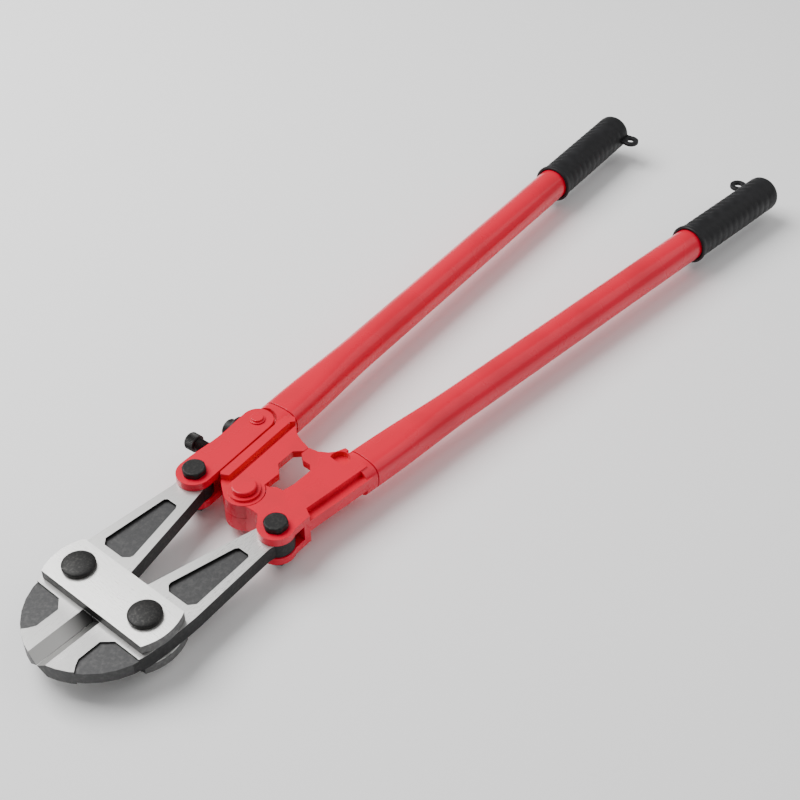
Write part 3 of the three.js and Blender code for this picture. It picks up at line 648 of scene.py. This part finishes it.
# ---- Toggle link ----
# A forged channel on the left fitting, open towards the handle. It carries the left jaw's tail in
# front, turns on a rivet at the rear, and closes round the fitting's lug.

LINK_EDGE = 1.1
RIVET_EDGE = 0.5
RIVET_RADIUS = 3.5
RIVET_HEAD_RADIUS = 4.5
RIVET_HEAD_HEIGHT = 1.6
RIVET_FLANGE_RADIUS = 5.9
RIVET_SEAT = 2.4

finished("forged_toggle_link", cad_blank("toggle_link"), [FORGED_ENAMEL], "toggle",
         "toggle_link", LINK_EDGE)

foot, top = rises("toggle_pin")
pin = turned([
    (0, foot), (RIVET_HEAD_RADIUS, foot), (RIVET_HEAD_RADIUS, foot + RIVET_HEAD_HEIGHT),
    (RIVET_FLANGE_RADIUS, foot + RIVET_HEAD_HEIGHT), (RIVET_FLANGE_RADIUS, foot + RIVET_SEAT),
    (RIVET_RADIUS, foot + RIVET_SEAT), (RIVET_RADIUS, top - RIVET_SEAT),
    (RIVET_FLANGE_RADIUS, top - RIVET_SEAT), (RIVET_FLANGE_RADIUS, top - RIVET_HEAD_HEIGHT),
    (RIVET_HEAD_RADIUS, top - RIVET_HEAD_HEIGHT), (RIVET_HEAD_RADIUS, top), (0, top),
])
finished("toggle_rivet", put(pin, on_floor("toggle_pin")), [FORGED_ENAMEL], "handle_left",
         "toggle_pin", RIVET_EDGE)


# ---- Tail bolts ----
# Two hexagon bolts through the jaws' tails, one in the toggle link and one in the right fitting,
# with their nuts below. The heads are forged, so their corners and rims are well rounded.

TAIL_RADIUS = 5
TAIL_FLATS = 16.4
TAIL_HEAD = 4.6
TAIL_CORNER = TAIL_FLATS * 0.527
TAIL_SHOULDER = 1.1
TAIL_RINGS = (1.8, 3.2)
TAIL_EDGE = 0.35
SHANK_SINK = 0.5

for label, body in (("left", "toggle"), ("right", "handle_right")):
    node = f"tail_bolt_{label}"
    place = on_floor(node)
    foot, top = rises(node)
    seat = top - TAIL_HEAD
    rings = [(TAIL_CORNER, seat + rise) for rise in TAIL_RINGS]
    head = turned([
        (0, seat), (TAIL_CORNER, seat), *rings, (TAIL_CORNER, top - TAIL_SHOULDER),
        (TAIL_CORNER - 0.35, top - 0.5), (TAIL_CORNER - TAIL_SHOULDER, top), (0, top),
    ])
    mill_flats(head, TAIL_FLATS)
    neck = seat + SHANK_SINK
    shank = turned([(0, foot), (TAIL_RADIUS, foot), (TAIL_RADIUS, neck), (0, neck)])
    finished(f"hexagon_tail_bolt_{label}", put(joined(head, shank), place), [OXIDE], body,
             node, TAIL_EDGE)
    fit_nut(f"hexagon_tail_nut_{label}", TAIL_FLATS, TAIL_RADIUS, place, body, f"tail_nut_{label}")


# ---- Adjusting and lock screws ----
# A socket screw with a knurled head that sets the toggle link's angle against the lug, and behind
# it a flanged screw and washer that clamp the link. Both are black oxide finished.

SPLAY = radians(4.56)
SCREW_PITCH = 1.5
SCREW_SINK = 0.2
SOCKET_REACH = 4.4
SOCKET_DEPTH = 5
SOCKET_CHAMFER = 0.5
ADJUSTER_ALONG = 25
ADJUSTER_NEAR = 45.4
ADJUSTER_SEAT = 66.2
ADJUSTER_FAR = 74.8
ADJUSTER_HEAD_RADIUS = 6.7
ADJUSTER_RADIUS = 5
KNURL_DEPTH = 0.45
LOCK_ALONG = 51.5
LOCK_NEAR = 30.1
LOCK_WASHER_LOW = 51.5
LOCK_WASHER_HIGH = 53.5
LOCK_WASHER_RADIUS = 12
LOCK_WASHER_EDGE = 0.3
LOCK_SEAT = 53.8
LOCK_FAR = 60.8
LOCK_FLANGE_RADIUS = 9
LOCK_RADIUS = 4
MID_LEVEL = middle("jaw_left").z

outward = Vector((-sin(SPLAY), cos(SPLAY), 0))
along = Vector((cos(SPLAY), sin(SPLAY), 0))


def on_left_handle(distance):
    """A point of the left handle's length at the mid plane, measured from the pivot."""
    return Vector((pivot.x, pivot.y, MID_LEVEL)) + along * distance * MM


def socket_profile(far):
    """The last part of a screw head's profile: its rim, and the socket sunk in its end."""
    bottom = far - SOCKET_DEPTH
    rim = [(SOCKET_REACH + 0.7, far), (SOCKET_REACH, far - SOCKET_CHAMFER)]
    return [*rim, (SOCKET_REACH, bottom), (0, bottom)]


def sink_socket(bm):
    """Makes the round socket of a turned head hexagonal."""
    for vertex in bm.verts:
        radius = hypot(vertex.co.x, vertex.co.y)
        if abs(radius - SOCKET_REACH) < 0.01:
            draw_in(vertex, hexagon_reach(vertex, SOCKET_REACH * sqrt(3)) / radius)


def knurl(bm, radius, low, high):
    """Straight knurling: every other column of the rim between two levels is pressed in."""
    step = 2 * pi / ROUND_STEPS
    for vertex in bm.verts:
        on_rim = abs(hypot(vertex.co.x, vertex.co.y) - radius) < 0.01
        if on_rim and low < vertex.co.z < high and round(turn_of(vertex) / step) % 2:
            draw_in(vertex, 1 - KNURL_DEPTH / radius)


head = turned([
    (0, ADJUSTER_SEAT), (ADJUSTER_HEAD_RADIUS - 0.6, ADJUSTER_SEAT),
    (ADJUSTER_HEAD_RADIUS, ADJUSTER_SEAT + 0.6), (ADJUSTER_HEAD_RADIUS, ADJUSTER_SEAT + 1.2),
    (ADJUSTER_HEAD_RADIUS, ADJUSTER_FAR - 1.2), (ADJUSTER_HEAD_RADIUS - 1, ADJUSTER_FAR),
    *socket_profile(ADJUSTER_FAR),
])
knurl(head, ADJUSTER_HEAD_RADIUS, ADJUSTER_SEAT + 1, ADJUSTER_FAR - 1)
sink_socket(head)
shank = thread_blank(ADJUSTER_RADIUS, SCREW_PITCH, ADJUSTER_NEAR, ADJUSTER_SEAT + SCREW_SINK)
adjuster = put(joined(head, shank), on_left_handle(ADJUSTER_ALONG), outward)
finished("knurled_adjusting_screw", adjuster, [OXIDE], "adjusting_screw",
         "adjusting_screw")

head = turned([
    (0, LOCK_SEAT), (LOCK_FLANGE_RADIUS, LOCK_SEAT), (LOCK_FLANGE_RADIUS, LOCK_SEAT + 1.8),
    (LOCK_FLANGE_RADIUS - 1.4, LOCK_SEAT + 2.6), (LOCK_FLANGE_RADIUS - 1.6, LOCK_FAR - 1),
    (LOCK_FLANGE_RADIUS - 2.4, LOCK_FAR), *socket_profile(LOCK_FAR),
])
sink_socket(head)
shank = thread_blank(LOCK_RADIUS, SCREW_PITCH, LOCK_NEAR, LOCK_SEAT + SCREW_SINK)
lock_screw = put(joined(head, shank), on_left_handle(LOCK_ALONG), outward)
finished("flanged_lock_screw", lock_screw, [OXIDE], "lock_screw", "lock_screw")
washer = washer_blank(LOCK_RADIUS + BORE_PLAY, LOCK_WASHER_RADIUS, LOCK_WASHER_LOW, LOCK_WASHER_HIGH)
finished("lock_round_washer", put(washer, on_left_handle(LOCK_ALONG), outward), [OXIDE], "toggle",
         "lock_screw_washer", LOCK_WASHER_EDGE)


# ---- Handle tubes ----
# Two lengths of steel tube, pressed to a squared oval at the mouth where the fitting's spigot is
# driven in and pinned, round from there to the grip, and enamelled with the fittings.

TUBE_OFFSET = 34.5
TUBE_RADIUS = 14
TUBE_WALL = 2.2
TUBE_START = 82
TUBE_END = 582
TUBE_LIP = 0.35
PRESSED_LENGTH = 105
PRESSED_HALF_WIDTH = 15.5
PRESSED_HALF_HEIGHT = 12.2
PRESSED_STEPS = 20
ROUND_POWER = 2
SQUARED_POWER = 3
TUBE_ENAMEL = red_enamel("enamel_on_tube", ORANGE_PEEL * 1.5, 0.02, 0.3)


def press_at(distance):
    """1 at the mouth, falling smoothly to 0 where the tube is round."""
    share = min(max((distance - TUBE_START) / PRESSED_LENGTH, 0), 1)
    return 1 - share ** 3 * (share * (share * 6 - 15) + 10)


def press_mouth(bm):
    """Squeezes a tube that stands on Z to the squared oval of its mouth, keeping its wall."""
    for vertex in bm.verts:
        reach = hypot(vertex.co.x, vertex.co.y)
        press = press_at(vertex.co.z)
        if press > 0:
            half_width = TUBE_RADIUS + (PRESSED_HALF_WIDTH - TUBE_RADIUS) * press
            half_height = TUBE_RADIUS + (PRESSED_HALF_HEIGHT - TUBE_RADIUS) * press
            power = ROUND_POWER + (SQUARED_POWER - ROUND_POWER) * press
            across = abs(vertex.co.y) / reach / half_width
            up = abs(vertex.co.x) / reach / half_height
            outside = (across ** power + up ** power) ** (-1 / power)
            draw_in(vertex, (outside - TUBE_RADIUS + reach) / reach)


def lay_on_handle(bm, side):
    """Lays a blank that stands on Z along a handle's tube axis, in its place."""
    lay = Matrix(((0, 0, 1), (0, side, 0), (-1, 0, 0))).to_4x4()
    swing = Matrix.Rotation(side * SPLAY, 3, "Z")
    bmesh.ops.transform(bm, matrix=lay, verts=bm.verts)
    bmesh.ops.translate(bm, vec=(0, side * TUBE_OFFSET, 0), verts=bm.verts)
    bmesh.ops.rotate(bm, cent=(0, 0, 0), matrix=swing, verts=bm.verts)
    bmesh.ops.scale(bm, vec=(MM, MM, MM), verts=bm.verts)
    bmesh.ops.translate(bm, vec=(pivot.x, pivot.y, MID_LEVEL), verts=bm.verts)
    bmesh.ops.recalc_face_normals(bm, faces=bm.faces)
    return bm


for label, side in (("left", 1), ("right", -1)):
    stations = [TUBE_START + PRESSED_LENGTH * step / PRESSED_STEPS for step in range(PRESSED_STEPS + 1)]
    stations.append(TUBE_END)
    outside = [(TUBE_RADIUS, station) for station in stations]
    inside = [(TUBE_RADIUS - TUBE_WALL, station) for station in reversed(stations)]
    tube = turned(outside + inside)
    press_mouth(tube)
    finished(f"steel_tube_{label}", lay_on_handle(tube, side), [TUBE_ENAMEL], f"handle_{label}",
             f"handle_tube_{label}", TUBE_LIP)


# ---- Grips ----
# Two grips of moulded black rubber pushed over the tube ends. Each has a flared mouth, fine ribs
# across both flanks, a closed rounded end, and a flat eyelet on its inner side to hang the tool by.

GRIP_RADIUS = 15.8
GRIP_LIP_RADIUS = 17
GRIP_BORE = 14.3
GRIP_FLOOR = TUBE_END + 0.3
GRIP_END = TUBE_END + 5.3
GRIP_START = GRIP_END - 116.5
GRIP_VENT = 1
RIB_COUNT = 12
RIB_PITCH = 8
RIB_FIRST = GRIP_START + 13
DEEP_GROOVE = (1.1, 0.05)
SHALLOW_GROOVE = (0.45, 0.3)
GROOVE_FADE = 0.4
EYELET_RADIUS = 7.5
EYELET_HOLE = 3.3
EYELET_HALF = 1.6
EYELET_CHAMFER = 0.5
EYELET_SET_BACK = 9
EYELET_REACH = 22
EYELET_NECK_END = GRIP_BORE + 0.6
EYELET_STEPS = 48
RUBBER_GRAIN = 0.6
RUBBER_DARK = (0.006, 0.006, 0.007, 1)
RUBBER_LIGHT = (0.012, 0.012, 0.0135, 1)


def rubber_group():
    """Moulded rubber: a fine matt grain, with a paler bloom where it's handled."""
    tree, entry, leave = shader_group("moulded_rubber", [
        ("Vector", "NodeSocketVector", None),
        ("Rubber", "NodeSocketColor", RUBBER_DARK),
        ("Bloom", "NodeSocketColor", RUBBER_LIGHT),
    ], FINISH_OUTPUTS)
    blooms = noise(tree, entry["Vector"], 0.08, 4)
    grain = noise(tree, entry["Vector"], 1, 3)
    bloom = mask_between(tree, blooms, 0.35, 0.75)
    feed(tree, blended(tree, bloom, entry["Rubber"], entry["Bloom"]), leave["Color"])
    feed(tree, spread(tree, bloom, 0.5, 0.66), leave["Roughness"])
    feed(tree, grain, leave["Height"])
    return tree


def moulded_rubber(name):
    material, tree, shader = new_material(name, 0)
    shader.inputs["Specular IOR Level"].default_value = 0.3
    rubber = place_group(tree, rubber_group(), {}, (1 / (RUBBER_GRAIN * MM),) * 3)
    wire_finish(tree, shader, rubber, 0.4, 0.06)
    return material


RUBBER = moulded_rubber("black_rubber_moulded")


def mould_ribs(bm, side):
    """Presses rounded grooves across both flanks, the deeper ones on the tool's left.

    A groove has a depth, and a lean at which it starts: 0 on top of the grip, 1 at its side.
    """
    for vertex in bm.verts:
        reach = hypot(vertex.co.x, vertex.co.y)
        ribbed = RIB_FIRST - RIB_PITCH / 2 <= vertex.co.z <= RIB_FIRST + (RIB_COUNT - 0.5) * RIB_PITCH
        if ribbed and reach > GRIP_RADIUS - 0.1:
            lean = side * vertex.co.y / reach
            depth, start = DEEP_GROOVE if lean > 0 else SHALLOW_GROOVE
            flank = min(max((abs(lean) - start) / GROOVE_FADE, 0), 1)
            wave = 0.5 + 0.5 * cos(2 * pi * (vertex.co.z - RIB_FIRST) / RIB_PITCH)
            draw_in(vertex, 1 - depth * flank * flank * (3 - 2 * flank) * wave ** 2 / reach)


def eyelet_blank():
    """A flat ring with a neck that runs into the grip, drawn on Z with the grip's axis at -X."""
    rim = EYELET_HALF - EYELET_CHAMFER
    inner, outer = EYELET_HOLE + EYELET_CHAMFER, EYELET_RADIUS - EYELET_CHAMFER
    ring = turned([
        (EYELET_HOLE, -rim), (inner, -EYELET_HALF), (outer, -EYELET_HALF), (EYELET_RADIUS, -rim),
        (EYELET_RADIUS, rim), (outer, EYELET_HALF), (inner, EYELET_HALF), (EYELET_HOLE, rim),
    ], EYELET_STEPS)
    neck = bmesh.new()
    bmesh.ops.create_cube(neck, size=1)
    length = EYELET_REACH - EYELET_NECK_END - EYELET_HOLE
    bmesh.ops.scale(neck, vec=(length, 2 * EYELET_RADIUS - 1, 2 * EYELET_HALF - 0.1), verts=neck.verts)
    bmesh.ops.translate(neck, vec=(-EYELET_HOLE - length / 2, 0, 0), verts=neck.verts)
    sides = [edge for edge in neck.edges if abs(edge.verts[0].co.x - edge.verts[1].co.x) > 0.1]
    bmesh.ops.bevel(neck, geom=sides, offset=EYELET_CHAMFER, offset_type="OFFSET", segments=2,
                    profile=0.5, affect="EDGES", material=-1)
    return joined(ring, neck)


def sleeve_blank():
    """A grip's sleeve on Z, open at its flared mouth and closed over the tube's end."""
    flank = [(GRIP_RADIUS, GRIP_START + 6 + step) for step in range(106)]
    return turned([
        (GRIP_BORE, GRIP_START + 0.8), (GRIP_BORE + 0.8, GRIP_START),
        (GRIP_LIP_RADIUS - 0.8, GRIP_START), (GRIP_LIP_RADIUS, GRIP_START + 0.8),
        (GRIP_LIP_RADIUS, GRIP_START + 2.6), (GRIP_RADIUS + 0.5, GRIP_START + 4.4), *flank,
        (GRIP_RADIUS - 0.35, GRIP_END - 3), (GRIP_RADIUS - 1.3, GRIP_END - 1.5),
        (GRIP_RADIUS - 2.8, GRIP_END - 0.5), (GRIP_RADIUS - 4.6, GRIP_END), (GRIP_VENT, GRIP_END),
        (GRIP_VENT, GRIP_FLOOR), (GRIP_BORE, GRIP_FLOOR),
    ])


EYELET_TURN = Matrix(((0, 0, -1), (-1, 0, 0), (0, 1, 0))).to_4x4()
EYELET_PLACE = (0, -EYELET_REACH, GRIP_END - EYELET_SET_BACK)

for label, side in (("left", 1), ("right", -1)):
    sleeve = sleeve_blank()
    mould_ribs(sleeve, side)
    eyelet = eyelet_blank()
    bmesh.ops.transform(eyelet, matrix=EYELET_TURN, verts=eyelet.verts)
    bmesh.ops.translate(eyelet, vec=EYELET_PLACE, verts=eyelet.verts)
    bmesh.ops.recalc_face_normals(eyelet, faces=eyelet.faces)
    grip = lay_on_handle(joined(sleeve, eyelet), side)
    finished(f"rubber_grip_{label}", grip, [RUBBER], f"handle_{label}", f"grip_{label}")


# ---- Camera, floor and lights ----
# The tool lies on a plain pale floor under one soft key light from its left and a weak fill from
# its right, and the camera looks down on it from in front of its jaws.

VIEW_FROM = Vector((-0.6543, -0.5194, 0.7372))
VIEW_ALONG = Vector((0.56994, 0.47608, -0.66972)).normalized()
VIEW_ROLL = 0.0091
VIEW_LENS = 63.41
SENSOR_WIDTH = 36

level_right = VIEW_ALONG.cross(Vector((0, 0, 1))).normalized()
level_up = level_right.cross(VIEW_ALONG)
right = level_right * cos(VIEW_ROLL) + level_up * sin(VIEW_ROLL)
up = level_up * cos(VIEW_ROLL) - level_right * sin(VIEW_ROLL)
camera_data = bpy.data.cameras.new("camera")
camera_data.lens = VIEW_LENS
camera_data.sensor_width = SENSOR_WIDTH
camera = bpy.data.objects.new("camera", camera_data)
bpy.context.scene.collection.objects.link(camera)
stance = Matrix((right, up, -VIEW_ALONG)).transposed().to_4x4()
camera.matrix_world = Matrix.Translation(VIEW_FROM) @ stance
bpy.context.scene.camera = camera

FLOOR_SIZE = 6
FLOOR_SHADE = (0.97, 0.97, 0.97, 1)
FLOOR_ROUGHNESS = 0.9

floor_blank = bmesh.new()
bmesh.ops.create_grid(floor_blank, x_segments=2, y_segments=2, size=FLOOR_SIZE)
floor_mesh = bpy.data.meshes.new("studio_floor")
floor_blank.to_mesh(floor_mesh)
floor_blank.free()
floor_material, _, floor_shader = new_material("pale_floor", 0)
floor_shader.inputs["Base Color"].default_value = FLOOR_SHADE
floor_shader.inputs["Roughness"].default_value = FLOOR_ROUGHNESS
floor_mesh.materials.append(floor_material)
studio_floor = bpy.data.objects.new("studio_floor", floor_mesh)
bpy.context.scene.collection.objects.link(studio_floor)

WORLD_STRENGTH = 0.38
KEY_PLACE = (-0.35, 1.1, 1.6)
KEY_SIZE = 1.4
KEY_POWER = 58
FILL_PLACE = (0.9, -0.9, 1.4)
FILL_SIZE = 1.6
FILL_POWER = 8

world = bpy.data.worlds.new("studio")
world.use_nodes = True
background = world.node_tree.nodes["Background"]
background.inputs["Color"].default_value = (1, 1, 1, 1)
background.inputs["Strength"].default_value = WORLD_STRENGTH
bpy.context.scene.world = world


def soft_light(name, place, size, power):
    """A square lamp aimed at the middle of the floor."""
    light = bpy.data.lights.new(name, "AREA")
    light.size = size
    light.energy = power
    lamp = bpy.data.objects.new(name, light)
    aim = (-Vector(place)).to_track_quat("-Z", "Y").to_matrix().to_4x4()
    lamp.matrix_world = Matrix.Translation(place) @ aim
    bpy.context.scene.collection.objects.link(lamp)


soft_light("key_light", KEY_PLACE, KEY_SIZE, KEY_POWER)
soft_light("fill_light", FILL_PLACE, FILL_SIZE, FILL_POWER)
